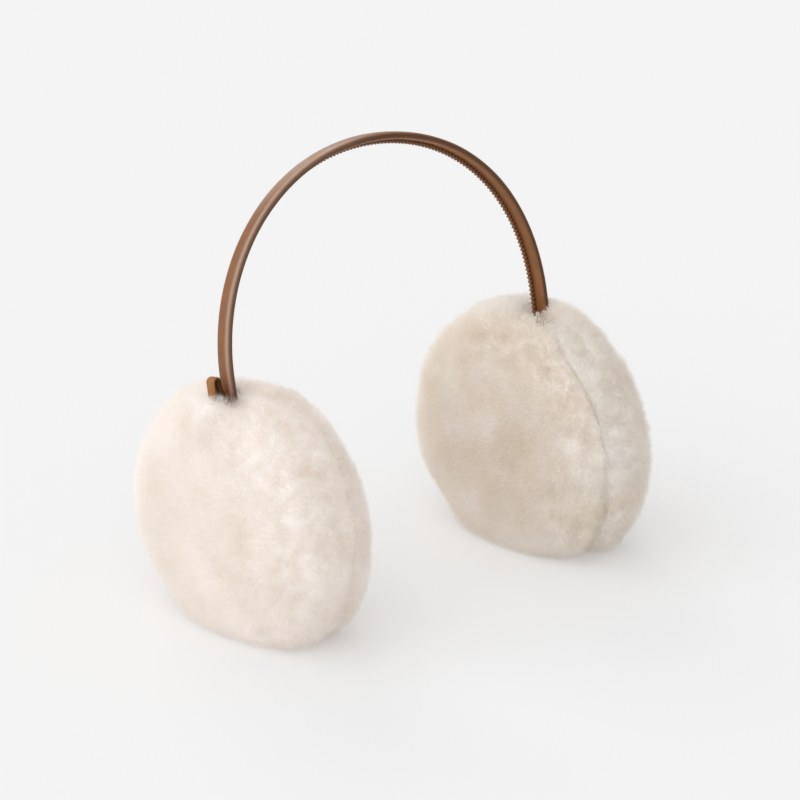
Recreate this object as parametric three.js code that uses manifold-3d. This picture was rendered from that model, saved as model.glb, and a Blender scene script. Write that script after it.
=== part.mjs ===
// Fur earmuffs: two round shearling ear pads on a leather-wrapped spring headband.
// Millimetres, +Z up. The band spans along X and leans back towards +Y, and both
// pads stand on the surface z = 0.
import * as THREE from "three";
import { mergeVertices } from "three/addons/utils/BufferGeometryUtils.js";
import Module from "manifold-3d";

const wasm = await Module();
wasm.setup();

// Ear pads
const padDiameter = 111;
const padThickness = 56;
const padRoundness = 2.75;
const padSpacing = 138;
const padCentreHeight = 38.4;
const footSoftness = 4;
const footTrim = 0.8;

// Seam round each pad, where the two discs of shearling meet
const seamInset = 7.5;
const seamTilt = 3.5;
const seamDriftAngle = 28;
const seamShareLimit = 0.9;
const grooveDepth = 4.6;
const grooveWidth = 6.5;

// Locks of fur on the pads
const lockLength = 19.5;
const lockWidth = 24;
const lockHeight = 1.7;
const lockRoot = 5;
const lockTopShare = 0.55;
const lockLengthOverlap = 1.25;
const lockWidthOverlap = 1.15;

// Headband: a half ellipse on two straight legs that end inside the pads
const bandWidth = 6.3;
const bandThickness = 2.5;
const bandCornerRadius = 0.8;
const archHalfWidth = 76.2;
const archHeight = 74;
const archRise = 0.8;
const archSetback = 4.6;
const bandLean = 12.1;
const legLength = 22;

// Sewn lip along the inner side of the band, set towards its back edge
const lipHeight = 1.3;
const lipThickness = 1.5;
const lipOffset = 1.1;

// Leather loop beside the left end of the band
const loopWidth = 4.7;
const loopOuterRadius = 2.8;
const loopThickness = 1.2;
const loopGap = 1.6;
const loopRise = 2.7;
const loopLegLength = 15;

const clearance = 0.3;

// Facets
const padColumns = 24;
const outerRows = 6;
const innerRows = 5;
const bandSteps = 36;
const cornerFacets = 1;
const loopFacets = 7;
const bandLengthSteps = 400;
const profileSteps = 24;

const padRadius = padDiameter / 2;
const padHalf = padThickness / 2;
const padX = padSpacing / 2;
const springline = padCentreHeight + padRadius + archRise;
const seamTop = archHalfWidth - padX;
const leanAngle = THREE.MathUtils.degToRad(bandLean);
const driftAngle = THREE.MathUtils.degToRad(seamDriftAngle);
const coreRadius = padRadius - lockHeight;
const coreHalf = padHalf - lockHeight;

const leatherBrown = new THREE.MeshStandardMaterial({ color: 0x8a5a3a, roughness: 0.5, metalness: 0 });
const leatherTan = new THREE.MeshStandardMaterial({ color: 0xa56d42, roughness: 0.55, metalness: 0 });
const furOutside = new THREE.MeshStandardMaterial({ color: 0xf0e4d8, roughness: 0.95, metalness: 0 });
const furInside = new THREE.MeshStandardMaterial({ color: 0xe2d5c6, roughness: 0.95, metalness: 0 });

// A closed mesh as a solid for joining and cutting
function toSolid(geometry) {
  const bare = geometry.clone();
  bare.deleteAttribute("normal");
  bare.deleteAttribute("uv");
  const merged = mergeVertices(bare, 1e-4);
  return new wasm.Manifold(new wasm.Mesh({
    numProp: 3,
    vertProperties: new Float32Array(merged.attributes.position.array),
    triVerts: new Uint32Array(merged.index.array),
  }));
}

function toGeometry(solid) {
  const mesh = solid.getMesh();
  const geometry = new THREE.BufferGeometry();
  geometry.setAttribute("position", new THREE.BufferAttribute(new Float32Array(mesh.vertProperties), 3));
  geometry.setIndex(new THREE.BufferAttribute(new Uint32Array(mesh.triVerts), 1));
  geometry.computeVertexNormals();
  return geometry;
}

// A closed mesh through rings of points, with both ends closed by a fan round a point
function loftRings(rings, firstPoint, lastPoint) {
  const columns = rings[0].length;
  const points = [firstPoint, ...rings.flat(), lastPoint];
  const last = points.length - 1;
  const faces = [];
  const at = (ring, column) => 1 + ring * columns + (column % columns);
  for (let column = 0; column < columns; column += 1) {
    faces.push(0, at(0, column), at(0, column + 1));
    faces.push(last, at(rings.length - 1, column + 1), at(rings.length - 1, column));
    for (let ring = 0; ring < rings.length - 1; ring += 1) {
      faces.push(at(ring, column), at(ring + 1, column), at(ring + 1, column + 1));
      faces.push(at(ring, column), at(ring + 1, column + 1), at(ring, column + 1));
    }
  }
  const geometry = new THREE.BufferGeometry();
  geometry.setAttribute("position", new THREE.Float32BufferAttribute(points.flatMap((p) => p.toArray()), 3));
  geometry.setIndex(faces);
  return geometry;
}

function signedPower(value, power) {
  return Math.sign(value) * Math.abs(value) ** power;
}

// Where the seam lies across the pad, at an angle round it from the top: in line with
// the band at the top, furthest in just beside it, and less far in towards the foot
function seamPlace(angle) {
  const turn = Math.abs(THREE.MathUtils.euclideanModulo(angle + Math.PI, 2 * Math.PI) - Math.PI);
  const beside = -seamInset - seamTilt * Math.cos(angle);
  return beside + (seamTop - beside) * Math.exp(-((turn / driftAngle) ** 2));
}

// Place on the pad's profile: share 0 is the middle of a face and share 1 the seam
function profileTurn(half, share, angle) {
  const seam = THREE.MathUtils.clamp(seamPlace(angle) / coreHalf, -seamShareLimit, seamShareLimit);
  const seamTurn = Math.acos(signedPower(seam, padRoundness / 2));
  return half === "outer" ? share * seamTurn : Math.PI - share * (Math.PI - seamTurn);
}

// The fur's soft foot: the round form flattens out as it nears the floor
function settle(point) {
  const floor = -padCentreHeight - footTrim;
  const height = point.z - floor;
  point.z = floor + (height + Math.hypot(height, footSoftness)) / 2;
  return point;
}

// A point on the pad, lifted off its surface, in the pad's own frame with x outwards
function padPoint(half, share, angle, lift) {
  const turn = profileTurn(half, share, angle);
  const x = coreHalf * signedPower(Math.cos(turn), 2 / padRoundness);
  const round = coreRadius * signedPower(Math.sin(turn), 2 / padRoundness);
  const beside = Math.max(0, 1 - Math.abs(x - seamPlace(angle)) / grooveWidth);
  const radius = Math.max(0, round - grooveDepth * beside ** 2);
  const normal = new THREE.Vector2(
    signedPower(x / coreHalf, padRoundness - 1) / coreHalf,
    signedPower(round / coreRadius, padRoundness - 1) / coreRadius,
  ).normalize();
  const liftedRadius = radius + lift * normal.y;
  const point = new THREE.Vector3(x + lift * normal.x, 0, 0);
  point.y = -liftedRadius * Math.sin(angle);
  point.z = liftedRadius * Math.cos(angle);
  return settle(point);
}

function padCore() {
  const rings = [];
  const ringAt = (half, share) => Array.from({ length: padColumns },
    (_, column) => padPoint(half, share, (2 * Math.PI * column) / padColumns, 0));
  for (let row = 1; row <= outerRows; row += 1) {
    rings.push(ringAt("outer", row / outerRows));
  }
  for (let row = innerRows - 1; row >= 1; row -= 1) {
    rings.push(ringAt("inner", row / innerRows));
  }
  return loftRings(rings, padPoint("outer", 0, 0, 0), padPoint("inner", 0, 0, 0));
}

// Sections of one lock from root to tip, as shares of its length, width and height
const lockSections = [
  { along: -0.8, across: 0.5, lift: -0.4 },
  { along: 0.3, across: 1.0, lift: 1.0 },
  { along: 1.0, across: 0.45, lift: 0.4 },
];

// One blunt lock lying on the pad with its root sunk in and its tip towards the seam
function lockGeometry(half, share, angle, shareLength, angleWidth) {
  const rings = lockSections.map((section) => {
    const place = share + (section.along * shareLength) / 2;
    const side = (section.across * angleWidth) / 2;
    const lift = section.lift * lockHeight;
    const corners = [
      padPoint(half, place, angle - side, -lockRoot),
      padPoint(half, place, angle - side * lockTopShare, lift),
      padPoint(half, place, angle + side * lockTopShare, lift),
      padPoint(half, place, angle + side, -lockRoot),
    ];
    return half === "outer" ? corners : corners.reverse();
  });
  const middle = (ring) => ring.reduce((sum, p) => sum.add(p), new THREE.Vector3()).divideScalar(ring.length);
  return loftRings(rings, middle(rings[0]), middle(rings[rings.length - 1]));
}

// Length over the fur from the middle of a face to the seam, at the front of the pad
function profileLength(half) {
  const pointAt = (step) => padPoint(half, step / profileSteps, Math.PI / 2, 0);
  let length = 0;
  for (let step = 1; step <= profileSteps; step += 1) {
    length += pointAt(step).distanceTo(pointAt(step - 1));
  }
  return length;
}

// Rings of locks over one half of the pad, each ring staggered against the last
function lockSolids(half) {
  const solids = [];
  const ringCount = Math.max(2, Math.round(profileLength(half) / lockLength));
  for (let ring = 0; ring < ringCount; ring += 1) {
    const share = (ring + 0.5) / ringCount;
    const turn = profileTurn(half, share, Math.PI);
    const radius = coreRadius * signedPower(Math.sin(turn), 2 / padRoundness);
    const count = Math.max(4, Math.round((2 * Math.PI * radius) / lockWidth));
    const spacing = (2 * Math.PI) / count;
    for (let lock = 0; lock < count; lock += 1) {
      const angle = spacing * (lock + (ring % 2) / 2);
      const length = lockLengthOverlap / ringCount;
      solids.push(toSolid(lockGeometry(half, share, angle, length, lockWidthOverlap * spacing)));
    }
  }
  return solids;
}

// Everything outside the seam, with the seam itself moved outwards by a shift
function outsideSeam(shift) {
  const ringAt = (radius, place) => Array.from({ length: padColumns }, (_, column) => {
    const angle = (2 * Math.PI * column) / padColumns;
    return new THREE.Vector3(place(angle), -radius * Math.sin(angle), radius * Math.cos(angle));
  });
  const onSeam = (angle) => seamPlace(angle) + shift;
  const rings = [
    ringAt(padDiameter, () => padThickness),
    ringAt(padDiameter, onSeam),
    ringAt(coreRadius - grooveDepth, onSeam),
  ];
  const middle = new THREE.Vector3(shift - seamInset, 0, 0);
  return toSolid(loftRings(rings, new THREE.Vector3(padThickness, 0, 0), middle));
}

// The line of the band in its own upright plane: a leg, a half ellipse and a leg
class BandLine extends THREE.Curve {
  constructor(legEnd) {
    super();
    this.legEnd = legEnd;
    this.archLength = (Math.PI * (archHalfWidth + archHeight)) / 2;
    this.arcLengthDivisions = bandLengthSteps;
  }

  getPoint(share, target = new THREE.Vector3()) {
    const along = share * (this.archLength + 2 * this.legEnd) - this.legEnd;
    if (along <= 0) {
      return target.set(-archHalfWidth, along, 0);
    }
    if (along >= this.archLength) {
      return target.set(archHalfWidth, this.archLength - along, 0);
    }
    const turn = (Math.PI * along) / this.archLength;
    return target.set(-archHalfWidth * Math.cos(turn), archHeight * Math.sin(turn), 0);
  }
}

// Section of the band, grown all round by a clearance for the pocket that it sits in:
// x runs to the back edge and y to the outer face, with the sewn lip on the inner face
function bandSection(grow) {
  const side = bandWidth / 2 + grow;
  const face = bandThickness / 2 + grow;
  const corner = bandCornerRadius + grow;
  const lipSide = lipThickness / 2 + grow;
  const shape = new THREE.Shape();
  shape.moveTo(corner - side, -face);
  shape.lineTo(lipOffset - lipSide, -face);
  shape.lineTo(lipOffset - lipSide, -face - lipHeight);
  shape.lineTo(lipOffset + lipSide, -face - lipHeight);
  shape.lineTo(lipOffset + lipSide, -face);
  shape.lineTo(side - corner, -face);
  shape.absarc(side - corner, corner - face, corner, -Math.PI / 2, 0);
  shape.absarc(side - corner, face - corner, corner, 0, Math.PI / 2);
  shape.absarc(corner - side, face - corner, corner, Math.PI / 2, Math.PI);
  shape.absarc(corner - side, corner - face, corner, Math.PI, 1.5 * Math.PI);
  return shape;
}

function bandGeometry(grow) {
  return new THREE.ExtrudeGeometry(bandSection(grow), {
    steps: bandSteps,
    curveSegments: cornerFacets,
    extrudePath: new BandLine(legLength + grow),
  });
}

// A leather loop standing just outside the band, open from front to back, drawn for
// the right end of the band
function loopGeometry(grow) {
  const centre = archHalfWidth + bandThickness / 2 + loopGap + loopOuterRadius;
  const outer = loopOuterRadius + grow;
  const inner = loopOuterRadius - loopThickness - grow;
  const bend = loopRise - loopOuterRadius;
  const foot = bend - loopLegLength - grow;
  const outline = new THREE.Shape();
  outline.moveTo(outer, foot);
  outline.lineTo(outer, bend);
  outline.absarc(0, bend, outer, 0, Math.PI);
  outline.lineTo(-outer, foot);
  outline.lineTo(-inner, foot);
  outline.lineTo(-inner, bend);
  outline.absarc(0, bend, inner, Math.PI, 0, true);
  outline.lineTo(inner, foot);
  const depth = loopWidth + 2 * grow;
  const settings = { depth, bevelEnabled: false, curveSegments: loopFacets };
  return new THREE.ExtrudeGeometry(outline, settings).translate(centre, 0, -depth / 2);
}

// The same piece for the other side, turned inside out again after mirroring
function mirrored(geometry) {
  const copy = geometry.index ? geometry.toNonIndexed() : geometry.clone();
  const position = copy.attributes.position;
  for (let corner = 0; corner < position.count; corner += 3) {
    const second = new THREE.Vector3().fromBufferAttribute(position, corner + 1);
    const third = new THREE.Vector3().fromBufferAttribute(position, corner + 2);
    position.setXYZ(corner + 1, third.x, third.y, third.z);
    position.setXYZ(corner + 2, second.x, second.y, second.z);
  }
  copy.scale(-1, 1, 1);
  copy.computeVertexNormals();
  return copy;
}

const bandFrame = new THREE.Group();
bandFrame.position.set(0, archSetback, springline);
bandFrame.rotation.x = Math.PI / 2 - leanAngle;
bandFrame.updateMatrix();

const padFrame = new THREE.Group();
padFrame.position.set(padX, 0, padCentreHeight);
padFrame.updateMatrix();

// The two halves of a pad, drawn for the right one, with locks all over, pockets for
// what ends inside the pad, and a flat foot
function padHalves(fittings) {
  const intoPad = padFrame.matrix.clone().invert().multiply(bandFrame.matrix);
  const pockets = fittings.map((geometry) => toSolid(geometry.applyMatrix4(intoPad)));
  const below = new THREE.BoxGeometry(2 * padDiameter, 2 * padDiameter, padDiameter);
  below.translate(0, 0, -padCentreHeight - padDiameter / 2);
  const furred = wasm.Manifold.union([toSolid(padCore()), ...lockSolids("outer"), ...lockSolids("inner")]);
  const cut = pockets.reduce((solid, pocket) => solid.subtract(pocket), furred.subtract(toSolid(below)));
  const outerHalf = cut.intersect(outsideSeam(clearance / 2));
  const innerHalf = cut.subtract(outsideSeam(-clearance / 2));
  return [outerHalf, innerHalf].map(toGeometry);
}

function addMesh(parent, name, geometry, material) {
  const mesh = new THREE.Mesh(geometry, material);
  mesh.name = name;
  parent.add(mesh);
}

const earmuffs = new THREE.Group();
earmuffs.name = "fur_earmuffs";

addMesh(bandFrame, "headband", bandGeometry(0), leatherBrown);
addMesh(bandFrame, "end_loop", mirrored(loopGeometry(0)), leatherTan);
earmuffs.add(bandFrame);

const [rightOuter, rightInner] = padHalves([bandGeometry(clearance)]);
addMesh(padFrame, "ear_pad_right_outer", rightOuter, furOutside);
addMesh(padFrame, "ear_pad_right_inner", rightInner, furInside);
earmuffs.add(padFrame);

const leftPadFrame = new THREE.Group();
leftPadFrame.position.set(-padX, 0, padCentreHeight);
const [leftOuter, leftInner] = padHalves([bandGeometry(clearance), loopGeometry(clearance)]).map(mirrored);
addMesh(leftPadFrame, "ear_pad_left_outer", leftOuter, furOutside);
addMesh(leftPadFrame, "ear_pad_left_inner", leftInner, furInside);
earmuffs.add(leftPadFrame);

export default earmuffs;
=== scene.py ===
"""Looks for fur earmuffs: two round shearling ear pads on a slim leather-wrapped headband.
Each pad half is a soft hide under a pile of fine strands, and the band is a padded leather
tube with an overcast lip. Everything is in metres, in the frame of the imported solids."""

import math

import bpy
import numpy as np
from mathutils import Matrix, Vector
from mathutils.kdtree import KDTree


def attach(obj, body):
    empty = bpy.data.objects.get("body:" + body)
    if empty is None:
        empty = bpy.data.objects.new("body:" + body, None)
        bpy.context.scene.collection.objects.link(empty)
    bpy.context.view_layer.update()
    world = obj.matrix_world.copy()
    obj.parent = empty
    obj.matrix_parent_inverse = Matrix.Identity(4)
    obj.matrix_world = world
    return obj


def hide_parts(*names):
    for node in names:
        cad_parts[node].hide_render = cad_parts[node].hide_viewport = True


MM = 0.001

# The two pads by the sign of x, which the tables by side use as their key, and a pad's halves
SIDES = {"left": -1, "right": 1}
HALVES = ("outer", "inner")

# Ear pads: x runs outwards from the middle of a pad, angle 0 is its top and the front is -Y
PAD_X = 69 * MM
PAD_CENTRE_HEIGHT = 38.4 * MM
CORE_RADIUS = 53.8 * MM
CORE_HALF = 26.3 * MM
PAD_ROUNDNESS = 2.75
FOOT_SOFTNESS = 4 * MM
FOOT_TRIM = 0.8 * MM
FLOOR_ROOM = 0.15 * MM

# Seam round each pad, with the groove in the fur along it, which deepens towards the foot
SEAM_TOP = 4.5 * MM
SEAM_INSET = 7.5 * MM
SEAM_TILT = 3.5 * MM
SEAM_DRIFT = math.radians(19)
SEAM_SHARE_LIMIT = 0.9
GROOVE_DEPTHS = {-1: (0, 1.5 * MM), 1: (0, 8 * MM)}
GROOVE_START = 0.35
GROOVE_WIDTH = 7.5 * MM

# Headband: a half ellipse on two legs that end inside the pads, in a plane that leans back
BAND_WIDTH = 7 * MM
BAND_THICKNESS = 2.9 * MM
ARCH_HALF_WIDTH = 76.2 * MM
ARCH_HEIGHT = 74 * MM
ARCH_SETBACK = 4.6 * MM
SHOULDER_FULLNESS = (0.2 * MM, 1.4 * MM)
SPRINGLINE = 94.7 * MM
BAND_LEAN = math.radians(12.1)
LEG_LENGTH = 22 * MM

# Leather wrap of the band: how square its section is, its ripples (height, length, phase),
# the burnish of its edges, and a painted highlight along its front corner, which fades out at the top
WRAP_STEP = 0.5 * MM
WRAP_SIDES = 32
WRAP_FACE_POWER = 3.8
WRAP_EDGE_POWER = 3.1
WRAP_RIPPLES = ((0.012, 9 * MM, 0), (0.01, 3.7 * MM, 1))
WRAP_BURNISH = 0.85
WRAP_EDGE = (0.93, 0.995)
PAINTED_HIGHLIGHT_STRENGTH = 0.5
PAINTED_HIGHLIGHT_PLACE = 0.74
PAINTED_HIGHLIGHT_WIDTH = 0.2
PAINTED_HIGHLIGHT_FADE = (0.44, 0.54)

# Sewn lip on the inner side of the band: how far it is set into the wrap, its section, the
# notches at its stitches, the parting between its two leather edges, its tone and a painted highlight
LIP_HEIGHT = 1.75 * MM
LIP_THICKNESS = 1.5 * MM
LIP_OFFSET = 2 * MM
LIP_ROOT = 0.4 * MM
LIP_SIDES = 14
LIP_STEPS = 6
LIP_POWER = 3.4
LIP_SWELL = 1.08
LIP_NOTCH = 0.6
LIP_NOTCH_SHARPNESS = 1.5
LIP_PARTING = 0.14 * MM
LIP_PARTING_WIDTH = 0.3
LIP_PARTING_START = -0.5
LIP_BURNISH = 0.3
# Painted highlight towards the lip's far edge
LIP_PAINTED_HIGHLIGHT = 0.08
LIP_PAINTED_HIGHLIGHT_PLACES = (-2.2 * MM, -2.8 * MM)

# Overcast stitches round the lip, of a thread that never runs quite along its sideways way
STITCH_PITCH = 1.7 * MM
STITCH_TURN = 0.62 * np.pi
STITCH_POINTS = 9
STITCH_SIDES = 6
STITCH_BEYOND_ARCH = 8 * MM
STITCH_LEAN = 0.2 * MM
STITCH_SPREAD = 0.72
STITCH_POWER = 0.7
STITCH_SEAT = 0.3 * MM
STITCH_BITE = 1.0 * MM
THREAD_RADIUS = 0.23 * MM
THREAD_SIDEWAYS = np.array([0.31, 0.87, 0.38])

# Leather loop beside the left end of the band, dark on its edges, with painted shade on its inner side
# but for a lit strip of one leg, and with an inner leg that leans in
LOOP_WIDTH = 4.7 * MM
LOOP_RADIUS = 2.1 * MM
LOOP_THICKNESS = 1.2 * MM
LOOP_GAP = 2.7 * MM
LOOP_RISE = 2.1 * MM
LOOP_LEAN = 1.6 * MM
LOOP_LEAN_REACH = 8 * MM
LOOP_LEG = 15 * MM
LOOP_LEG_STEPS = 12
LOOP_ARC_POINTS = 25
LOOP_SIDES = 24
LOOP_FACE_POWER = 5
LOOP_EDGE_POWER = 2.6
LOOP_EDGE = (0.93, 1.0)
LOOP_EDGE_BURNISH = 0.6
LOOP_INSIDE_PAINTED_SHADE = 0.97
LOOP_LIT_STRIP = 0.75
LOOP_LIT_STRIP_PLACE = 0.4
LOOP_LIT_STRIP_WIDTH = 0.3

# Hide under the fur, with low lumps all over and tufts on the rim, beyond the edge of each face
HIDE_DEPTH = 1.6 * MM
HIDE_ROWS = 44
HIDE_COLUMNS = 112
HIDE_SEAM_SHARE = 0.994
LUMP_SEED = 31
LUMP_HEIGHT = 0.3 * MM
LUMP_LENGTHS = (15 * MM, 34 * MM)
LUMP_WAVES = 14
TUFT_SEED = 61
TUFT_HEIGHT = 0.3 * MM
TUFT_LENGTHS = (6 * MM, 12 * MM)
TUFT_WAVES = 30
FACE_EDGE = (0.72, 0.98)

# Grid over a pad half on which the strands stand, closer together towards the middle of the face
SKIN_START = 1e-3
SKIN_ROWS = 90
SKIN_COLUMNS = 241
SKIN_CROWDING = 1.4

# Fur by kind of strand: how many a pad half has, how wide and long they are, how far apart
# their tufts stand, and how they gather, tilt and are combed on (the faces, the rims)
FUR_SEED = 100
PILES = [
    {"name": "pile", "count": 128000, "bends": False, "width": 0.11 * MM, "length": 3.4 * MM,
     "tuft_gap": 2.6 * MM, "clump": (0.12, 0.42), "tilt": (0.06, 0.26), "comb": (0.0, 0.15)},
    {"name": "tufts", "count": 29000, "bends": True, "width": 0.1 * MM, "length": 4.1 * MM,
     "tuft_gap": 4.4 * MM, "clump": (0.2, 0.8), "tilt": (0.08, 0.5), "comb": (0.0, 0.2)},
]

# How single strands differ, as shares; where a rim turns into a face, by how far its normals
# point along x; and how the strands are shorter, looser and combed across the seam of each pad
RIM_NORMALS = (0.55, 0.92)
TUFT_LENGTH_SPREAD = (0.85, 1.15)
LENGTH_SPREAD = (0.72, 1.12)
WIDTH_SPREAD = (0.7, 1.2)
CLUMP_SPREAD = (0.5, 1.0)
WILDNESS = 0.24
MIDDLE_LEAN = 0.5
MIDDLE_CLUMP = 0.25
STRAND_TAPER = 0.8
SEAM_SHARES = (0.86, 1.0)
SEAM_COMBS = {-1: 0.1, 1: 0.3}
SEAM_COMB_SPREAD = (-0.6, 2.6)
SEAM_SHORTENING = 0.15
SEAM_LOOSENING = 0.5
STRAND_FLOOR_ROOM = 0.2 * MM
STRAND_ROOM = 0.1 * MM

# Dark hairs as painted shade in the parted fur where the leather goes into each pad, along a line seen
# from above (outwards from the pad's middle, to the back); their lengths are in millimetres
HAIR_SEED = 7
HAIR_COUNTS = {-1: 190, 1: 80}
HAIR_WIDTH = 0.13 * MM
HAIR_LENGTHS = (4, 6.2)
HAIR_SPREADS = {-1: 0.9 * MM, 1: 0.5 * MM}
HAIR_LINES = {
    -1: (np.array([15.2, 0.8]) * MM, np.array([12, -5]) * MM),
    1: (np.array([-2, -5]) * MM, np.array([-9, -15]) * MM),
}
HAIR_WILDNESS = 0.75
HAIR_RISE = 0.6 * MM
HAIR_KINK = 0.35 * MM
HAIR_FIRST_ROW = 40

# Ground and light
FLOOR_REACH = 15
FLOOR_TONES = (0.585, 0.59)
FLOOR_GLOW = 0.25
WORLD_STRENGTH = 0.75

# Camera of the photograph
VIEW_AZIMUTH = math.radians(-40)
VIEW_ELEVATION = math.radians(20.43)
VIEW_DISTANCE = 2.34
VIEW_TARGET = Vector((0, 0, 0.081))
VIEW_RIGHT = 2.1 * MM
VIEW_DOWN = 10.9 * MM
VIEW_SPAN = 0.3
SENSOR = 36

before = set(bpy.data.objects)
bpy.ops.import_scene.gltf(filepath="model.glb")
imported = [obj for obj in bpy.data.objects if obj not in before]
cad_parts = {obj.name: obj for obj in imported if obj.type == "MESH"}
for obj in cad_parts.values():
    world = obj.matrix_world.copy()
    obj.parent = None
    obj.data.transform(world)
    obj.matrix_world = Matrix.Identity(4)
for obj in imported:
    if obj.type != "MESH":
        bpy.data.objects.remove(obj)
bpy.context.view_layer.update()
scene = bpy.context.scene
scene.cycles.diffuse_bounces = 12
scene.cycles.transmission_bounces = 12
scene.cycles.max_bounces = 24


def signed_power(value, power):
    """A power that keeps the sign, for sections between an ellipse and a box."""
    return np.sign(value) * np.abs(value) ** power


def smooth_step(low, high, value):
    """0 up to low and 1 from high on, with a soft change between them."""
    share = np.clip((value - low) / (high - low), 0, 1)
    return share * share * (3 - 2 * share)


def unit(vectors):
    return vectors / np.maximum(np.linalg.norm(vectors, axis=-1, keepdims=True), 1e-12)


def between(pair, share):
    """The value at a share of the way from the first of a pair to the second."""
    return pair[0] + (pair[1] - pair[0]) * share


def seam_place(angle):
    """How far outwards the seam lies at an angle round the pad."""
    turn = np.abs((angle + np.pi) % (2 * np.pi) - np.pi)
    beside = -SEAM_INSET - SEAM_TILT * np.cos(angle)
    return beside + (SEAM_TOP - beside) * np.exp(-((turn / SEAM_DRIFT) ** 2))


def profile_turn(half, share, angle):
    """Place on the pad's profile: share 0 is the middle of a face and share 1 the seam."""
    seam = np.clip(seam_place(angle) / CORE_HALF, -SEAM_SHARE_LIMIT, SEAM_SHARE_LIMIT)
    seam_turn = np.arccos(signed_power(seam, PAD_ROUNDNESS / 2))
    return share * seam_turn if half == "outer" else np.pi - share * (np.pi - seam_turn)


def waves(seed, count, lengths):
    """Random wave vectors and phases for a soft, repeatable unevenness."""
    rng = np.random.default_rng(seed)
    lengths = rng.uniform(*lengths, count)
    vectors = unit(rng.normal(size=(count, 3))) * (2 * np.pi / lengths)[:, None]
    return vectors, rng.uniform(0, 2 * np.pi, count)


def unevenness(points, vectors, phases):
    """The sum of the waves at each point, with a spread of about 1."""
    return np.sin(points @ vectors.T + phases).sum(-1) / math.sqrt(len(phases) / 2)


LUMPS = {side: waves(LUMP_SEED + side, LUMP_WAVES, LUMP_LENGTHS) for side in SIDES.values()}
TUFTS = {side: waves(TUFT_SEED + side, TUFT_WAVES, TUFT_LENGTHS) for side in SIDES.values()}


def settle(points):
    """The fur's soft foot: the round form flattens out as it nears the floor."""
    height = points[..., 2] + FOOT_TRIM
    points[..., 2] = (height + np.hypot(height, FOOT_SOFTNESS)) / 2 - FOOT_TRIM
    return points


# Soft hollows and mounds in the fur: where it is parted round the band, where it stands up
# against the loop, and where a pad is less round low at the back. Place is the middle of each
# (outwards from the pad's middle, to the back, up) and reach is how far it goes each way, both
# in millimetres.
RELIEFS = {
    1: [{"place": (2.5, 2.5, 90), "reach": (5, 5, 24), "height": -10.5 * MM},
        {"place": (-2.5, -4.5, 90), "reach": (5, 5.5, 24), "height": -6 * MM},
        {"place": (-18, 33, 5), "reach": (12, 15, 15), "height": -3.2 * MM}],
    -1: [{"place": (4, 0, 90), "reach": (6, 7, 24), "height": -2 * MM},
         {"place": (10.5, -1.5, 90), "reach": (4.2, 6, 24), "height": -4.4 * MM},
         {"place": (17.5, -1, 88), "reach": (3.6, 6, 24), "height": 8 * MM},
         {"place": (-10, 6, 91), "reach": (9, 14, 24), "height": -2.6 * MM},
         {"place": (18, 29, 3), "reach": (12, 15, 15), "height": -3.2 * MM}],
}


def relief(side, points):
    """Lift of the hide for its soft unevenness, and for the fur round the leather."""
    across = np.abs(side * points[..., 0] - PAD_X) / CORE_HALF
    rim = 1 - smooth_step(*FACE_EDGE, across)
    lift = LUMP_HEIGHT * unevenness(points, *LUMPS[side])
    lift = lift + TUFT_HEIGHT * rim * unevenness(points, *TUFTS[side])
    places = np.stack([side * points[..., 0] - PAD_X, points[..., 1], points[..., 2]], -1)
    for part in RELIEFS[side]:
        away = (places - np.multiply(part["place"], MM)) / np.multiply(part["reach"], MM)
        lift = lift + part["height"] * np.exp(-(away**2).sum(-1))
    return lift


def pad_points(side, half, share, angle, lift):
    """Points on a pad in the row frame, lifted off its surface."""
    turn = profile_turn(half, share, angle)
    x = CORE_HALF * signed_power(np.cos(turn), 2 / PAD_ROUNDNESS)
    core = CORE_RADIUS * signed_power(np.sin(turn), 2 / PAD_ROUNDNESS)
    beside = np.maximum(0, 1 - np.abs(x - seam_place(angle)) / GROOVE_WIDTH)
    lowness = smooth_step(GROOVE_START, 1, (1 - np.cos(angle)) / 2)
    radius = np.maximum(0, core - between(GROOVE_DEPTHS[side], lowness) * beside**2)
    normal = unit(np.stack([
        signed_power(x / CORE_HALF, PAD_ROUNDNESS - 1) / CORE_HALF,
        signed_power(core / CORE_RADIUS, PAD_ROUNDNESS - 1) / CORE_RADIUS,
    ], -1))
    x = x + lift * normal[..., 0]
    radius = radius + lift * normal[..., 1]
    points = np.stack([
        side * (PAD_X + x),
        -radius * np.sin(angle),
        PAD_CENTRE_HEIGHT + radius * np.cos(angle),
    ], -1)
    return settle(points)


def mesh_object(name, points, faces, material, slot, smooth=True):
    """A mesh from arrays, riding on the one body of the row."""
    faces = np.asarray(faces, np.int32)
    count, corners = faces.shape
    mesh = bpy.data.meshes.new(name)
    mesh.vertices.add(len(points))
    mesh.vertices.foreach_set("co", np.asarray(points, np.float32).ravel())
    mesh.loops.add(count * corners)
    mesh.loops.foreach_set("vertex_index", faces.ravel())
    mesh.polygons.add(count)
    mesh.polygons.foreach_set("loop_start", np.arange(0, count * corners, corners, dtype=np.int32))
    mesh.update(calc_edges=True)
    if smooth:
        mesh.shade_smooth()
    mesh.materials.append(material)
    piece = bpy.data.objects.new(name, mesh)
    bpy.context.collection.objects.link(piece)
    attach(piece, "root")
    return piece


def ring_faces(rings, columns):
    """Four-cornered faces between closed rings of points."""
    ring, column = np.meshgrid(np.arange(rings - 1), np.arange(columns), indexing="ij")
    here = ring * columns + column
    there = ring * columns + (column + 1) % columns
    return np.stack([here, there, there + columns, here + columns], -1).reshape(-1, 4)


def triangles(quads):
    """Each four-cornered face as two triangles."""
    return np.concatenate([quads[:, [0, 1, 2]], quads[:, [0, 2, 3]]])


def fans(first, ring_start, columns, flip):
    """Triangles that close a ring round one point."""
    column = np.arange(columns)
    here = ring_start + column
    following = ring_start + (column + 1) % columns
    fan = np.stack([np.full(columns, first), here, following], -1)
    return fan[:, ::-1] if flip else fan


# Materials


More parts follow.
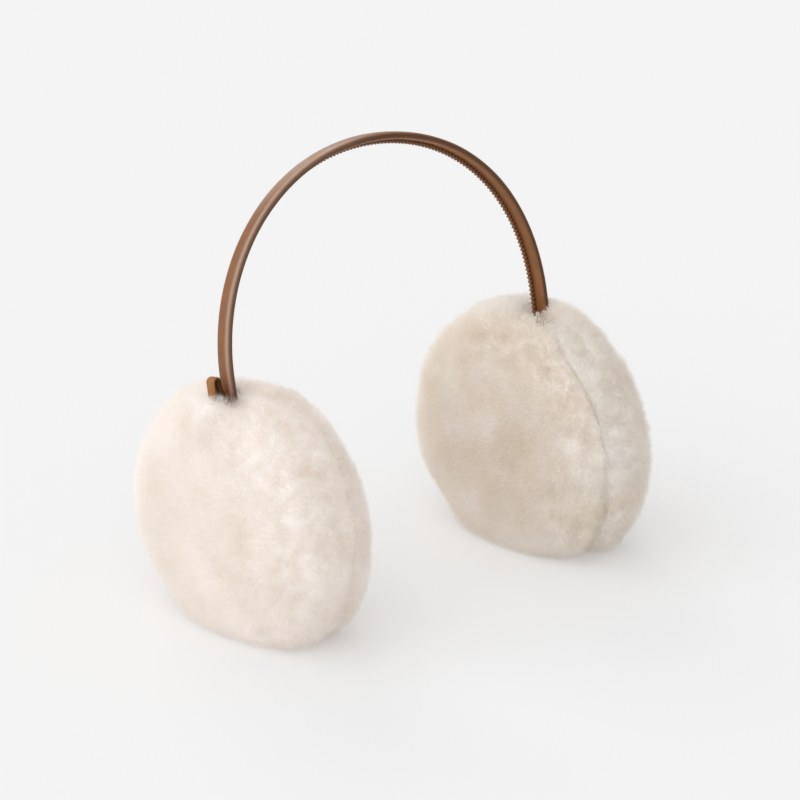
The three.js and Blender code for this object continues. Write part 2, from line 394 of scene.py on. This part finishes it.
def new_material(name):
    """A material with its nodes, links and main shader."""
    material = bpy.data.materials.new(name)
    material.use_nodes = True
    nodes, links = material.node_tree.nodes, material.node_tree.links
    return material, nodes, links, nodes["Principled BSDF"]


def noise(nodes, links, scale, detail):
    """A noise texture in object space; its scale is in features a metre."""
    place = nodes.new("ShaderNodeTexCoord")
    texture = nodes.new("ShaderNodeTexNoise")
    texture.inputs["Scale"].default_value = scale
    texture.inputs["Detail"].default_value = detail
    texture.inputs["Roughness"].default_value = 0.55
    links.new(place.outputs["Object"], texture.inputs["Vector"])
    return texture.outputs["Fac"]


def ramp(nodes, links, source, stops):
    """Colours at places along a value."""
    node = nodes.new("ShaderNodeValToRGB")
    elements = node.color_ramp.elements
    while len(elements) < len(stops):
        elements.new(0.5)
    for element, (place, colour) in zip(elements, stops):
        element.position = place
        element.color = (*colour, 1)
    links.new(source, node.inputs["Fac"])
    return node.outputs["Color"]


def mix_colour(nodes, links, factor, first, second, mode="MIX"):
    """A mix of two colours; each value is a colour, a number or a node's output."""
    node = nodes.new("ShaderNodeMix")
    node.data_type = "RGBA"
    node.blend_type = mode
    for socket, value in (("Factor", factor), ("A", first), ("B", second)):
        target = next(s for s in node.inputs if s.name == socket and s.enabled)
        if isinstance(value, bpy.types.NodeSocket):
            links.new(value, target)
        elif isinstance(value, tuple):
            target.default_value = (*value, 1)
        else:
            target.default_value = value
    return next(s for s in node.outputs if s.enabled)


def bump(nodes, links, height, strength, distance, under=None):
    """Relief from a height, on top of another relief where one is given."""
    node = nodes.new("ShaderNodeBump")
    node.inputs["Strength"].default_value = strength
    node.inputs["Distance"].default_value = distance
    links.new(height, node.inputs["Height"])
    if under is not None:
        links.new(under, node.inputs["Normal"])
    return node.outputs["Normal"]


def fur_material(name, light, deep, translucency, sheen=0.15):
    """Fur: warm white in broad soft patches, with light that passes through the strands."""
    material, nodes, links, shader = new_material(name)
    patches = ramp(nodes, links, noise(nodes, links, 55, 3), [(0.34, deep), (0.62, light)])
    flecks = [(0.3, (0.985, 0.982, 0.98)), (0.6, (1, 1, 1))]
    fine = ramp(nodes, links, noise(nodes, links, 700, 2), flecks)
    colour = mix_colour(nodes, links, 1.0, patches, fine, "MULTIPLY")
    links.new(colour, shader.inputs["Base Color"])
    shader.inputs["Roughness"].default_value = 0.85
    shader.inputs["Specular IOR Level"].default_value = 0.15
    shader.inputs["Sheen Weight"].default_value = sheen
    shader.inputs["Sheen Roughness"].default_value = 0.5
    if translucency:
        through = nodes.new("ShaderNodeBsdfTranslucent")
        blend = nodes.new("ShaderNodeMixShader")
        blend.inputs["Fac"].default_value = translucency
        links.new(colour, through.inputs["Color"])
        links.new(shader.outputs["BSDF"], blend.inputs[1])
        links.new(through.outputs["BSDF"], blend.inputs[2])
        links.new(blend.outputs["Shader"], nodes["Material Output"].inputs["Surface"])
    return material


def leather_material(name, face, dark, highlight_tone, gloss, specular):
    """Smooth leather: fine pores and creases, a cloudy tone, burnished edges, painted shade and
    highlight.
    """
    material, nodes, links, shader = new_material(name)
    clouds = noise(nodes, links, 160, 4)
    shaded = tuple(0.78 * value for value in face)
    tone = ramp(nodes, links, clouds, [(0.3, shaded), (0.7, face)])
    # Darker where the edges are burnished, and where the loop carries painted shade on its inner side
    burnish_and_shade = nodes.new("ShaderNodeAttribute")
    burnish_and_shade.attribute_name = "burnish_and_shade"
    tone = mix_colour(nodes, links, burnish_and_shade.outputs["Fac"], tone, dark)
    # Painted highlight, mixed in where the piece's attribute puts it
    painted_highlight = nodes.new("ShaderNodeAttribute")
    painted_highlight.attribute_name = "painted_highlight"
    tone = mix_colour(nodes, links, painted_highlight.outputs["Fac"], tone, highlight_tone)
    pores = noise(nodes, links, 1900, 2)
    pore_shade = ramp(nodes, links, pores, [(0.3, (0.82, 0.8, 0.78)), (0.55, (1, 1, 1))])
    tone = mix_colour(nodes, links, 1.0, tone, pore_shade, "MULTIPLY")
    links.new(tone, shader.inputs["Base Color"])
    roughness = ramp(nodes, links, clouds, [(0.3, (gloss[0],) * 3), (0.7, (gloss[1],) * 3)])
    links.new(roughness, shader.inputs["Roughness"])
    shader.inputs["Specular IOR Level"].default_value = specular
    creases = noise(nodes, links, 420, 3)
    grain = bump(nodes, links, pores, 0.35, 0.08 * MM)
    links.new(bump(nodes, links, creases, 0.25, 0.25 * MM, grain), shader.inputs["Normal"])
    return material


def thread_material():
    """Dark waxed thread with fine fibres."""
    material, nodes, links, shader = new_material("waxed_thread")
    shades = [(0.3, (0.035, 0.011, 0.005)), (0.7, (0.09, 0.028, 0.013))]
    tone = ramp(nodes, links, noise(nodes, links, 1500, 2), shades)
    links.new(tone, shader.inputs["Base Color"])
    shader.inputs["Roughness"].default_value = 0.5
    links.new(bump(nodes, links, noise(nodes, links, 5000, 1), 0.4, 0.05 * MM), shader.inputs["Normal"])
    return material


# Light and deep tone of each half's fleece: the right pad's is a little deeper than the left pad's, as
# painted shade from the left pad, and its outer half, which faces away from the light, is the deepest,
# as more painted shade
FLEECE_TONES_WITH_PAINTED_SHADE = {
    "left_outer": ((0.957, 0.929, 0.907), (0.934, 0.896, 0.855)),
    "left_inner": ((0.957, 0.929, 0.907), (0.934, 0.896, 0.855)),
    "right_outer": ((0.914, 0.889, 0.86), (0.881, 0.839, 0.784)),
    "right_inner": ((0.934, 0.907, 0.876), (0.901, 0.856, 0.796)),
}
furs = {
    name: fur_material(f"shearling_pile_{name}", *tones, translucency=0.5)
    for name, tones in FLEECE_TONES_WITH_PAINTED_SHADE.items()
}
hides = {
    name: fur_material(f"shearling_hide_{name}", *tones, translucency=0)
    for name, tones in FLEECE_TONES_WITH_PAINTED_SHADE.items()
}
leather = leather_material(
    "band_leather", face=(0.27, 0.107, 0.037), dark=(0.06, 0.026, 0.011), highlight_tone=(0.6, 0.46, 0.37),
    gloss=(0.32, 0.44), specular=0.27)
tan_leather = leather_material(
    "loop_leather", face=(0.4, 0.19, 0.075), dark=(0.05, 0.019, 0.007), highlight_tone=(0.5, 0.3, 0.18),
    gloss=(0.75, 0.85), specular=0.05)
# Dark strands that paint the shade in the parted fur where the leather goes in
painted_shade_hair = fur_material(
    "painted_shade_hair", light=(0.2, 0.1, 0.045), deep=(0.09, 0.04, 0.018), translucency=0.1, sheen=0)
thread = thread_material()


# Ear pads


def skin(side, half):
    """A fine grid over one pad half: points, outward normals and the way towards the seam."""
    shares = np.linspace(SKIN_START, 1, SKIN_ROWS) ** SKIN_CROWDING
    share, angle = np.meshgrid(shares, np.linspace(0, 2 * np.pi, SKIN_COLUMNS), indexing="ij")
    points = pad_points(side, half, share, angle, np.zeros_like(share))
    points = pad_points(side, half, share, angle, relief(side, points) - HIDE_DEPTH)
    towards = unit(np.gradient(points, axis=0))
    normal = unit(np.cross(towards, np.gradient(points, axis=1)))
    centre = np.array([side * PAD_X, 0, PAD_CENTRE_HEIGHT])
    facing = np.sign((normal * (points - centre)).sum(-1).mean())
    return {"points": points, "normal": normal * facing, "towards": towards, "share": share[..., None]}


def scatter(grid, count, rng):
    """Random places spread evenly over a grid, with its values there."""
    points = grid["points"]
    across = points[1:, :-1] - points[:-1, :-1]
    along = points[:-1, 1:] - points[:-1, :-1] + points[1:, 1:] - points[1:, :-1]
    area = np.linalg.norm(np.cross(across, along), axis=-1)
    cells = rng.choice(area.size, count, p=(area / area.sum()).ravel())
    row, column = np.unravel_index(cells, area.shape)
    u, v = rng.random((2, count, 1))
    found = {}
    for key, values in grid.items():
        near = values[row, column] * (1 - v) + values[row, column + 1] * v
        far = values[row + 1, column] * (1 - v) + values[row + 1, column + 1] * v
        found[key] = near * (1 - u) + far * u
    return found


def nearest(centres, points):
    """The number of the centre that is nearest to each point."""
    tree = KDTree(len(centres))
    for index, centre in enumerate(centres):
        tree.insert(centre, index)
    tree.balance()
    return np.array([tree.find(point)[1] for point in points])


def band_places(points):
    """Points in the band's own plane: x across the arms, y up the band, z to the front."""
    x, y, z = points[..., 0], points[..., 1] - ARCH_SETBACK, points[..., 2] - SPRINGLINE
    return np.stack([
        x,
        y * math.sin(BAND_LEAN) + z * math.cos(BAND_LEAN),
        -y * math.cos(BAND_LEAN) + z * math.sin(BAND_LEAN),
    ], -1)


def band_world(points):
    """Points in the band's own plane, back in the row frame."""
    x, up, front = points[..., 0], points[..., 1], points[..., 2]
    return np.stack([
        x,
        ARCH_SETBACK + up * math.sin(BAND_LEAN) - front * math.cos(BAND_LEAN),
        SPRINGLINE + up * math.cos(BAND_LEAN) + front * math.sin(BAND_LEAN),
    ], -1)


LOOP_START = ARCH_HALF_WIDTH + BAND_THICKNESS / 2 + LOOP_GAP
LOOP_CENTRE = LOOP_START + LOOP_RADIUS
LOOP_LEGS = ((LOOP_START, LOOP_START + LOOP_THICKNESS),
             (LOOP_START + 2 * LOOP_RADIUS - LOOP_THICKNESS, LOOP_START + 2 * LOOP_RADIUS))


def clear_of_leather(side, points, room):
    """Which points are outside the band, and on the left also outside the loop."""
    place = band_places(points)
    x, front = side * place[..., 0], np.abs(place[..., 2])
    inner = ARCH_HALF_WIDTH - BAND_THICKNESS / 2 - LIP_HEIGHT
    spans = [(inner, ARCH_HALF_WIDTH + BAND_THICKNESS / 2, BAND_WIDTH / 2)]
    if side < 0:
        spans += [(low, high, LOOP_WIDTH / 2) for low, high in LOOP_LEGS]
    high_up = place[..., 1] > -LEG_LENGTH
    inside = np.zeros(x.shape, bool)
    for low, high, half in spans:
        inside |= (x > low - room) & (x < high + room) & (front < half + room) & high_up
    return ~inside


def strands(side, half, kind, seed):
    """Root, middle, tip and half width of each strand of one kind on a pad half."""
    rng = np.random.default_rng(seed)
    grid = skin(side, half)
    area = 2 * np.pi * CORE_RADIUS**2
    tufts = scatter(grid, int(area / kind["tuft_gap"] ** 2), rng)
    roots = scatter(grid, kind["count"], rng)
    rim = 1 - smooth_step(*RIM_NORMALS, np.abs(roots["normal"][:, :1]))
    tuft_rim = 1 - smooth_step(*RIM_NORMALS, np.abs(tufts["normal"][:, :1]))
    seam = smooth_step(*SEAM_SHARES, roots["share"])
    tilt = unit(rng.normal(size=tufts["points"].shape)) * between(kind["tilt"], tuft_rim)
    tuft_way = unit(tufts["normal"] + tufts["towards"] * between(kind["comb"], tuft_rim) + tilt)
    tuft_length = kind["length"] * rng.uniform(*TUFT_LENGTH_SPREAD, (len(tilt), 1))
    tuft_tip = tufts["points"] + tuft_way * tuft_length
    mine = nearest(tufts["points"], roots["points"])
    across = rng.uniform(*SEAM_COMB_SPREAD, (len(tilt), 1))[mine]
    comb = between(kind["comb"], rim) + SEAM_COMBS[side] * seam * across
    way = unit(roots["normal"] + roots["towards"] * comb + tilt[mine]
               + WILDNESS * rng.normal(size=roots["points"].shape))
    length = kind["length"] * rng.uniform(*LENGTH_SPREAD, (kind["count"], 1))
    length = length * (1 - SEAM_SHORTENING * seam)
    start = roots["points"]
    tip = start + way * length
    clump = between(kind["clump"], rim) * rng.uniform(*CLUMP_SPREAD, (kind["count"], 1))
    clump = clump * (1 - SEAM_LOOSENING * seam)
    gathered = tuft_tip[mine] - tip
    half_way = unit(roots["normal"] + MIDDLE_LEAN * way) * length * 0.5
    middle = start + half_way + gathered * clump * MIDDLE_CLUMP
    tip = tip + gathered * clump
    for points in (start, middle, tip):
        room = FLOOR_ROOM + STRAND_FLOOR_ROOM * rng.random(len(points))
        points[:, 2] = np.maximum(points[:, 2], room)
    clear = np.logical_and.reduce(
        [clear_of_leather(side, points, STRAND_ROOM) for points in (start, middle, tip)])
    side_way = unit(np.cross(tip - start, rng.normal(size=start.shape)))
    width = kind["width"] * rng.uniform(*WIDTH_SPREAD, (kind["count"], 1))
    return [values[clear] for values in (start, middle, tip, side_way * width / 2)]


def strand_mesh(start, middle, tip, half_width, bends):
    """Strands as points and faces: a straight one is one triangle and a bent one is three."""
    if bends:
        narrow = half_width * STRAND_TAPER
        corners = [start - half_width, start + half_width, middle + narrow, middle - narrow, tip]
        strand_faces = ([0, 1, 2], [0, 2, 3], [3, 2, 4])
    else:
        corners = [start - half_width, start + half_width, tip]
        strand_faces = ([0, 1, 2],)
    index = len(corners) * np.arange(len(start))[:, None]
    faces = np.concatenate([index + np.array(face) for face in strand_faces])
    return np.stack(corners, 1).reshape(-1, 3), faces


def hide_mesh(side, half):
    """The closed body of a pad half, under its fur: a face, a rim and a flat side at the seam."""
    angle = np.linspace(0, 2 * np.pi, HIDE_COLUMNS, endpoint=False)
    shares = np.linspace(0, HIDE_SEAM_SHARE, HIDE_ROWS + 1)[1:]
    share, turn = np.meshgrid(shares, angle, indexing="ij")
    level = pad_points(side, half, share, turn, np.zeros_like(share))
    rings = pad_points(side, half, share, turn, relief(side, level) - HIDE_DEPTH)
    pole = pad_points(side, half, np.zeros(1), np.zeros(1), np.full(1, -HIDE_DEPTH))
    centre = rings[-1].mean(0, keepdims=True)
    points = np.concatenate([pole, rings.reshape(-1, 3), centre])
    points[:, 2] = np.maximum(points[:, 2], FLOOR_ROOM)
    last = 1 + (HIDE_ROWS - 1) * HIDE_COLUMNS
    faces = np.concatenate([
        triangles(ring_faces(HIDE_ROWS, HIDE_COLUMNS) + 1)[:, ::-1],
        fans(0, 1, HIDE_COLUMNS, False),
        fans(len(points) - 1, last, HIDE_COLUMNS, True),
    ])
    outwards = (side > 0) == (half == "outer")
    return points, faces if outwards else faces[:, ::-1]


for side_name, side in SIDES.items():
    for half_number, half in enumerate(HALVES):
        node = f"ear_pad_{side_name}_{half}"
        fleece = f"{side_name}_{half}"
        body = mesh_object(f"{node}_hide", *hide_mesh(side, half), hides[fleece], "fur")
        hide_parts(node)
        for kind_number, kind in enumerate(PILES):
            seed = FUR_SEED + 20 * (side + 1) + 5 * half_number + kind_number
            parts = strands(side, half, kind, seed)
            points, faces = strand_mesh(*parts, kind["bends"])
            mesh_object(f"{node}_{kind['name']}", points, faces, furs[fleece], "fur", smooth=False)


def nearest_flat(surface, side, places):
    """The surface point nearest to each place, seen from above."""
    flat = np.stack([side * surface[:, 0] - PAD_X, surface[:, 1]], -1)
    return np.array([((flat - place) ** 2).sum(-1).argmin() for place in places])


def entry_hairs(side, seed):
    """Loose dark hairs where the leather goes into the fur, as painted shade in the parted fur there.
    """
    rng = np.random.default_rng(seed)
    count = HAIR_COUNTS[side]
    places = between(HAIR_LINES[side], rng.random((count, 1)))
    places = places + rng.normal(size=(count, 2)) * HAIR_SPREADS[side]
    grids = [skin(side, half) for half in HALVES]
    surface = np.concatenate([grid["points"][HAIR_FIRST_ROW:].reshape(-1, 3) for grid in grids])
    normals = np.concatenate([grid["normal"][HAIR_FIRST_ROW:].reshape(-1, 3) for grid in grids])
    upper = surface[:, 2] > PAD_CENTRE_HEIGHT
    surface, normals = surface[upper], normals[upper]
    found = nearest_flat(surface, side, places)
    start, normal = surface[found], normals[found]
    way = unit(normal + HAIR_WILDNESS * rng.normal(size=start.shape))
    length = rng.uniform(*HAIR_LENGTHS, (count, 1)) * MM
    tip = start + way * length + np.array([0, 0, HAIR_RISE])
    middle = start + way * length * 0.5 + HAIR_KINK * rng.normal(size=start.shape)
    half_width = unit(np.cross(way, rng.normal(size=start.shape))) * HAIR_WIDTH / 2
    clear = clear_of_leather(side, start, 0) & clear_of_leather(side, tip, 0)
    return strand_mesh(start[clear], middle[clear], tip[clear], half_width[clear], True)


for side_name, side in SIDES.items():
    points, faces = entry_hairs(side, HAIR_SEED + side)
    mesh_object(f"entry_hairs_{side_name}", points, faces, painted_shade_hair, "fur", smooth=False)


# Headband


ARCH_LENGTH = math.pi * (ARCH_HALF_WIDTH + ARCH_HEIGHT) / 2


def band_line(along):
    """Point and outward way of the band's line at distances along it from the left leg's top."""
    turn = np.clip(math.pi * along / ARCH_LENGTH, 0, math.pi)
    below = np.minimum(along, 0) + np.minimum(ARCH_LENGTH - along, 0)
    outward = unit(np.stack([-np.cos(turn) / ARCH_HALF_WIDTH, np.sin(turn) / ARCH_HEIGHT], -1))
    fullness = between(SHOULDER_FULLNESS, turn / math.pi) * np.sin(2 * turn) ** 2
    points = np.stack([-ARCH_HALF_WIDTH * np.cos(turn), ARCH_HEIGHT * np.sin(turn) + below], -1)
    return points + outward * fullness[..., None], outward


def distances(step):
    """Even distances along the band, from the foot of the left leg to that of the right one."""
    total = ARCH_LENGTH + 2 * LEG_LENGTH
    count = int(total / step)
    return np.arange(count + 1) * (total / count) - LEG_LENGTH


def sweep(section, step):
    """Rings of points along the band; section gives (to the back, outwards) at each distance along."""
    along = distances(step)
    line, outward = band_line(along)
    back, out = section(along)
    flat = line[:, None] + outward[:, None] * out[..., None]
    points = np.concatenate([flat, -back[..., None]], -1)
    return band_world(points), back, out


def set_attribute(piece, name, values):
    """Puts a value on each point of a piece, for its material."""
    layer = piece.data.attributes.new(name, "FLOAT", "POINT")
    layer.data.foreach_set("value", np.asarray(values, np.float32).ravel())


def swept_object(name, section, step, material, slot):
    """A piece swept along the band, with how far back and outwards each of its points lies."""
    points, back, out = sweep(section, step)
    rings, columns = points.shape[:2]
    caps = np.concatenate([points[:1].mean(1), points[-1:].mean(1)])
    faces = np.concatenate([
        triangles(ring_faces(rings, columns)),
        fans(rings * columns, 0, columns, True),
        fans(rings * columns + 1, (rings - 1) * columns, columns, False),
    ])
    piece = mesh_object(name, np.concatenate([points.reshape(-1, 3), caps]), faces, material, slot)
    ends = np.zeros(2)
    return piece, np.concatenate([back.ravel(), ends]), np.concatenate([out.ravel(), ends])


def wrap_section(along):
    """The padded tube: crowned faces and full round edges."""
    turn = np.linspace(0, 2 * np.pi, WRAP_SIDES, endpoint=False)
    back = BAND_WIDTH / 2 * signed_power(np.cos(turn), 2 / WRAP_FACE_POWER)
    out = BAND_THICKNESS / 2 * signed_power(np.sin(turn), 2 / WRAP_EDGE_POWER)
    ripple = 1
    for height, length, phase in WRAP_RIPPLES:
        ripple = ripple + height * np.sin(along / length + phase)
    return back * np.ones_like(along)[:, None], out * ripple[:, None]


def lip_section(along):
    """The two leather edges sewn together, drawn in at each stitch."""
    notch = (0.5 + 0.5 * np.cos(2 * np.pi * along / STITCH_PITCH)) ** LIP_NOTCH_SHARPNESS
    turn = np.linspace(0, 2 * np.pi, LIP_SIDES, endpoint=False)
    flat = signed_power(np.cos(turn), 2 / LIP_POWER)
    tall = signed_power(np.sin(turn), 2 / LIP_POWER)
    root = -BAND_THICKNESS / 2 + LIP_ROOT
    height = LIP_HEIGHT + LIP_ROOT
    middle = root - height / 2
    pull = 1 - LIP_NOTCH * notch[:, None] * (tall < 0)
    parting = LIP_PARTING * np.exp(-((flat / LIP_PARTING_WIDTH) ** 2)) * (tall < LIP_PARTING_START)
    back = LIP_OFFSET + LIP_THICKNESS / 2 * flat * (LIP_SWELL - LIP_NOTCH * notch[:, None])
    return back, middle + height / 2 * tall * pull + parting


wrap, back, out = swept_object("headband_wrap", wrap_section, WRAP_STEP, leather, "leather")
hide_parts("headband")
front = -back / (BAND_WIDTH / 2)
set_attribute(wrap, "burnish_and_shade", WRAP_BURNISH * smooth_step(*WRAP_EDGE, np.abs(front)))
# Painted highlight on the rounded corner of the outer face and front edge, on the left arm, fading out
# before the top
painted_highlight = PAINTED_HIGHLIGHT_STRENGTH * np.exp(-(((front - PAINTED_HIGHLIGHT_PLACE) / PAINTED_HIGHLIGHT_WIDTH) ** 2)) * (out > 0)
left_share = 1 - smooth_step(*PAINTED_HIGHLIGHT_FADE, distances(WRAP_STEP) / ARCH_LENGTH)
painted_highlight[:-2] *= np.repeat(left_share, WRAP_SIDES)
set_attribute(wrap, "painted_highlight", painted_highlight)
lip, back, out = swept_object("headband_lip", lip_section, STITCH_PITCH / LIP_STEPS, leather, "leather")
set_attribute(lip, "burnish_and_shade", np.full(len(back), LIP_BURNISH))
# Painted highlight on the lip's far edge, where light catches its crests between the stitches
set_attribute(lip, "painted_highlight", LIP_PAINTED_HIGHLIGHT * smooth_step(*LIP_PAINTED_HIGHLIGHT_PLACES, out))


def tube(path, sides, radius):
    """A closed thread along a path of points, as points and faces."""
    way = unit(np.gradient(path, axis=0))
    across = unit(np.cross(way, THREAD_SIDEWAYS))
    other = np.cross(way, across)
    turn = np.linspace(0, 2 * np.pi, sides, endpoint=False)[:, None]
    rings = path[:, None] + radius * (across[:, None] * np.cos(turn) + other[:, None] * np.sin(turn))
    points = np.concatenate([rings.reshape(-1, 3), path[:1], path[-1:]])
    faces = np.concatenate([
        triangles(ring_faces(len(path), sides)),
        fans(len(points) - 2, 0, sides, True),
        fans(len(points) - 1, (len(path) - 1) * sides, sides, False),
    ])
    return points, faces


def joined(parts):
    """Several meshes as one, as points and faces."""
    points, faces, start = [], [], 0
    for part_points, part_faces in parts:
        points.append(part_points)
        faces.append(part_faces + start)
        start += len(part_points)
    return np.concatenate(points), np.concatenate(faces)


def stitch_meshes():
    """Overcast stitches: each goes round the lip and leans a little along the band."""
    turn = np.linspace(-STITCH_TURN, STITCH_TURN, STITCH_POINTS)
    sideways = signed_power(np.sin(turn), STITCH_POWER)
    inwards = signed_power(np.cos(turn), STITCH_POWER)
    back = LIP_OFFSET + LIP_THICKNESS / 2 * STITCH_SPREAD * sideways
    out = -BAND_THICKNESS / 2 - STITCH_SEAT - (LIP_HEIGHT - STITCH_BITE) * inwards
    first = int(-STITCH_BEYOND_ARCH / STITCH_PITCH)
    last = int((ARCH_LENGTH + STITCH_BEYOND_ARCH) / STITCH_PITCH)
    parts = []
    for number in range(first, last + 1):
        along = number * STITCH_PITCH + STITCH_LEAN * np.sin(turn)
        line, outward = band_line(along)
        path = np.concatenate([line + outward * out[:, None], -back[:, None]], -1)
        parts.append(tube(band_world(path), STITCH_SIDES, THREAD_RADIUS))
    return joined(parts)


mesh_object("headband_stitches", *stitch_meshes(), thread, "thread")


# Loop


def loop_mesh():
    """The leather strip bent over into a loop, with rounded edges."""
    bend = LOOP_RISE - LOOP_RADIUS
    middle_radius = LOOP_RADIUS - LOOP_THICKNESS / 2
    leg = np.linspace(-LOOP_LEG, 0, LOOP_LEG_STEPS, endpoint=False)
    arc = np.linspace(0, np.pi, LOOP_ARC_POINTS)
    line = np.concatenate([
        np.stack([np.full_like(leg, middle_radius), leg], -1),
        np.stack([middle_radius * np.cos(arc), middle_radius * np.sin(arc)], -1),
        np.stack([np.full_like(leg, -middle_radius), leg[::-1]], -1),
    ])
    way = unit(np.gradient(line, axis=0))
    outward = np.stack([way[:, 1], -way[:, 0]], -1)
    turn = np.linspace(0, 2 * np.pi, LOOP_SIDES, endpoint=False)
    across = LOOP_WIDTH / 2 * signed_power(np.cos(turn), 2 / LOOP_FACE_POWER)
    out = LOOP_THICKNESS / 2 * signed_power(np.sin(turn), 2 / LOOP_EDGE_POWER)
    flat = line[:, None] + outward[:, None] * out[:, None]
    inner_leg = (line[:, :1] < 0) * smooth_step(0, LOOP_LEAN_REACH, -line[:, 1:])
    x = -(LOOP_CENTRE + flat[..., 0] - LOOP_LEAN * inner_leg)
    y = bend + flat[..., 1]
    rings = band_world(np.stack([x, y, np.broadcast_to(across, x.shape)], -1))
    count, columns = rings.shape[:2]
    caps = [rings[end].mean(0, keepdims=True) for end in (0, -1)]
    points = np.concatenate([rings.reshape(-1, 3), *caps])
    faces = np.concatenate([
        triangles(ring_faces(count, columns)),
        fans(count * columns, 0, columns, True),
        fans(count * columns + 1, (count - 1) * columns, columns, False),
    ])
    front = across / (LOOP_WIDTH / 2)
    edges = LOOP_EDGE_BURNISH * smooth_step(*LOOP_EDGE, np.abs(front))
    # Burnished edges, and painted shade in the hollow of the loop, lifted on a strip of the inner leg
    # where light reaches
    lit_strip = np.exp(-(((front - LOOP_LIT_STRIP_PLACE) / LOOP_LIT_STRIP_WIDTH) ** 2)) * (line[:, :1] < 0)
    dark = np.maximum(edges, (LOOP_INSIDE_PAINTED_SHADE - LOOP_LIT_STRIP * lit_strip) * (out < 0))
    return points, faces, np.concatenate([dark.ravel(), np.zeros(2)])


loop_points, loop_faces, loop_burnish_and_shade = loop_mesh()
loop = mesh_object("end_loop_strip", loop_points, loop_faces, tan_leather, "leather")
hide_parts("end_loop")
set_attribute(loop, "burnish_and_shade", loop_burnish_and_shade)
set_attribute(loop, "painted_highlight", np.zeros(len(loop_burnish_and_shade)))


# Stage, light and camera


def stage_floor():
    """A wide sheet of white paper, which glows a little so that its shadows stay light."""
    signs = ((-1, -1), (1, -1), (1, 1), (-1, 1))
    corners = [(x * FLOOR_REACH, y * FLOOR_REACH, 0) for x, y in signs]
    mesh = bpy.data.meshes.new("floor")
    mesh.from_pydata(corners, [], [(0, 1, 2, 3)])
    material, nodes, links, shader = new_material("floor_paper")
    shades = [(0.3, (FLOOR_TONES[0],) * 3), (0.7, (FLOOR_TONES[1],) * 3)]
    tone = ramp(nodes, links, noise(nodes, links, 3, 2), shades)
    links.new(tone, shader.inputs["Base Color"])
    shader.inputs["Emission Color"].default_value = (1, 1, 1, 1)
    shader.inputs["Emission Strength"].default_value = FLOOR_GLOW
    shader.inputs["Roughness"].default_value = 1
    shader.inputs["Specular IOR Level"].default_value = 0
    mesh.materials.append(material)
    floor = bpy.data.objects.new("floor", mesh)
    bpy.context.collection.objects.link(floor)


def sun(name, towards, strength, angle):
    """A wide, soft sun; towards points from the object to the light, and angle is in degrees."""
    data = bpy.data.lights.new(name, "SUN")
    data.energy = strength
    data.angle = math.radians(angle)
    light = bpy.data.objects.new(name, data)
    light.rotation_euler = Vector(towards).to_track_quat("Z", "Y").to_euler()
    bpy.context.collection.objects.link(light)


stage_floor()
world = bpy.data.worlds.new("studio")
world.use_nodes = True
world.node_tree.nodes["Background"].inputs["Color"].default_value = (1, 1, 1, 1)
world.node_tree.nodes["Background"].inputs["Strength"].default_value = WORLD_STRENGTH
scene.world = world
sun("key", towards=(-0.86, 0.02, 0.5), strength=1.6, angle=120)
sun("back", towards=(0.3, 0.87, 0.4), strength=0.6, angle=35)
scene.view_settings.view_transform = "Standard"

back_way = Vector((
    math.sin(VIEW_AZIMUTH) * math.cos(VIEW_ELEVATION),
    -math.cos(VIEW_AZIMUTH) * math.cos(VIEW_ELEVATION),
    math.sin(VIEW_ELEVATION),
))
right_way = Vector((math.cos(VIEW_AZIMUTH), math.sin(VIEW_AZIMUTH), 0))
up_way = back_way.cross(right_way)
camera_data = bpy.data.cameras.new("camera")
camera_data.sensor_width = SENSOR
camera_data.lens = SENSOR * VIEW_DISTANCE / VIEW_SPAN
camera_data.clip_start = 0.1
camera_data.clip_end = 100
camera = bpy.data.objects.new("camera", camera_data)
camera.location = VIEW_TARGET + right_way * VIEW_RIGHT - up_way * VIEW_DOWN + back_way * VIEW_DISTANCE
camera.rotation_mode = "QUATERNION"
camera.rotation_quaternion = back_way.to_track_quat("Z", "Y")
bpy.context.collection.objects.link(camera)
scene.camera = camera
